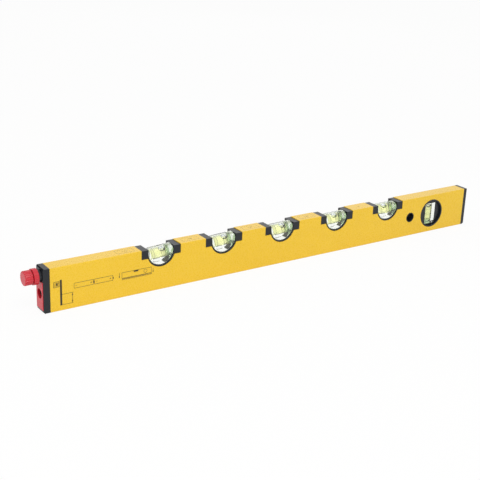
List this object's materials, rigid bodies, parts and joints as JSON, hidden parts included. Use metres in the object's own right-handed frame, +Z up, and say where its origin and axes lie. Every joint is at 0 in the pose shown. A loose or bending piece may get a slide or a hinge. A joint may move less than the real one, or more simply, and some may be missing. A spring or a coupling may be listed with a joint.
{
  "type": "spirit level",
  "caption": "Laser gradient spirit level: yellow box-section body with gradient vials in its top edge, a plumb vial, a hanging hole and a laser outlet with a screw-in switch knob.",
  "frame": {"origin": "middle of the base face", "axes": "+X along the level from the laser end to the plain end, +Y from front to back, +Z up"},
  "size_m": [0.6182, 0.0186, 0.049],
  "materials": {
    "yellow_coat": "powder coated, satin",
    "black_plastic": "moulded, fine texture",
    "red_plastic": "moulded, semi gloss",
    "clear_acrylic": "polished clear acrylic",
    "vial_liquid": "tinted spirit",
    "air_bubble": "air",
    "vial_plug": "clear plug",
    "line_ink": "printed",
    "black_anodised": "black anodised",
    "lens_glass": "polished",
    "contact_brass": "stamped and turned",
    "circuit_board": "solder mask",
    "component_black": "moulded",
    "wire_insulation": "extruded",
    "seal_rubber": "moulded",
    "tube_steel": "drawn",
    "cell_wrap": "shrink wrap",
    "white_plastic": "moulded"
  },
  "bodies": {
    "level": {"body_tube": "yellow_coat", "laser_end_cap": "black_plastic", "plain_end_cap": "black_plastic", "hang_hole_bush": "black_plastic", "plumb_bezel_front": "black_plastic", "plumb_bezel_back": "black_plastic", "laser_face_plate": "red_plastic", "knob_collar": "red_plastic", "plumb_block": "clear_acrylic", "plumb_liquid": "vial_liquid", "plumb_plug": "vial_plug", "plumb_lines": "line_ink", "vial_holder_1": "black_plastic", "vial_block_1": "clear_acrylic", "vial_liquid_1": "vial_liquid", "vial_plug_1": "vial_plug", "vial_lines_1": "line_ink", "vial_holder_2": "black_plastic", "vial_block_2": "clear_acrylic", "vial_liquid_2": "vial_liquid", "vial_plug_2": "vial_plug", "vial_lines_2": "line_ink", "vial_holder_3": "black_plastic", "vial_block_3": "clear_acrylic", "vial_liquid_3": "vial_liquid", "vial_plug_3": "vial_plug", "vial_lines_3": "line_ink", "vial_holder_4": "black_plastic", "vial_block_4": "clear_acrylic", "vial_liquid_4": "vial_liquid", "vial_plug_4": "vial_plug", "vial_lines_4": "line_ink", "vial_holder_5": "black_plastic", "vial_block_5": "clear_acrylic", "vial_liquid_5": "vial_liquid", "vial_plug_5": "vial_plug", "vial_lines_5": "line_ink", "laser_barrel": "black_anodised", "laser_lens": "lens_glass", "laser_diode": "contact_brass", "front_contact": "contact_brass", "driver_board": "circuit_board", "board_components": "component_black", "supply_wires": "wire_insulation", "battery_tube": "tube_steel", "battery_cell_1": "cell_wrap", "battery_cell_2": "cell_wrap", "battery_end_plug": "white_plastic"},
    "bubble_1": {"vial_bubble_1": "air_bubble"},
    "bubble_2": {"vial_bubble_2": "air_bubble"},
    "bubble_3": {"vial_bubble_3": "air_bubble"},
    "bubble_4": {"vial_bubble_4": "air_bubble"},
    "bubble_5": {"vial_bubble_5": "air_bubble"},
    "plumb_air": {"plumb_bubble": "air_bubble"},
    "contact_carrier": {"knob_seal_ring": "seal_rubber", "tail_contact": "contact_brass"},
    "knob": {"switch_knob": "red_plastic"}
  },
  "joints": [
    {"name": "bubble_1_slide", "type": "slide", "parent": "level", "child": "bubble_1", "axis": [0.9978, 0, 0.0665], "range_m": [-0.01108, 0.00011], "stiffness_N_per_m": 0.5},
    {"name": "bubble_2_slide", "type": "slide", "parent": "level", "child": "bubble_2", "axis": [0.9988, 0, 0.0499], "range_m": [-0.01102, 0.00017], "stiffness_N_per_m": 0.5},
    {"name": "bubble_3_slide", "type": "slide", "parent": "level", "child": "bubble_3", "axis": [0.9994, 0, 0.0333], "range_m": [-0.01052, 0.00067], "stiffness_N_per_m": 0.5},
    {"name": "bubble_4_slide", "type": "slide", "parent": "level", "child": "bubble_4", "axis": [0.9997, 0, 0.025], "range_m": [-0.00716, 0.00403], "stiffness_N_per_m": 0.5},
    {"name": "bubble_5_slide", "type": "slide", "parent": "level", "child": "bubble_5", "axis": [1, 0, 0], "range_m": [-0.00559, 0.00559], "stiffness_N_per_m": 0.5},
    {"name": "plumb_bubble_slide", "type": "slide", "parent": "level", "child": "plumb_air", "axis": [0, 0, 1], "range_m": [-0.0161, 0], "stiffness_N_per_m": 0.5, "springref_m": 0.03},
    {"name": "contact_travel", "type": "slide", "parent": "level", "child": "contact_carrier", "axis": [1, 0, 0], "range_m": [0, 0.00075]},
    {"name": "knob_turn", "type": "hinge", "parent": "contact_carrier", "child": "knob", "pos_m": [-0.314, 0, 0.0398], "axis": [1, 0, 0], "range_deg": [0, 270]}
  ],
  "couplings": [
    {"joint": "knob_turn", "follows": "contact_travel", "rad_per_m": 6283.2}
  ]
}
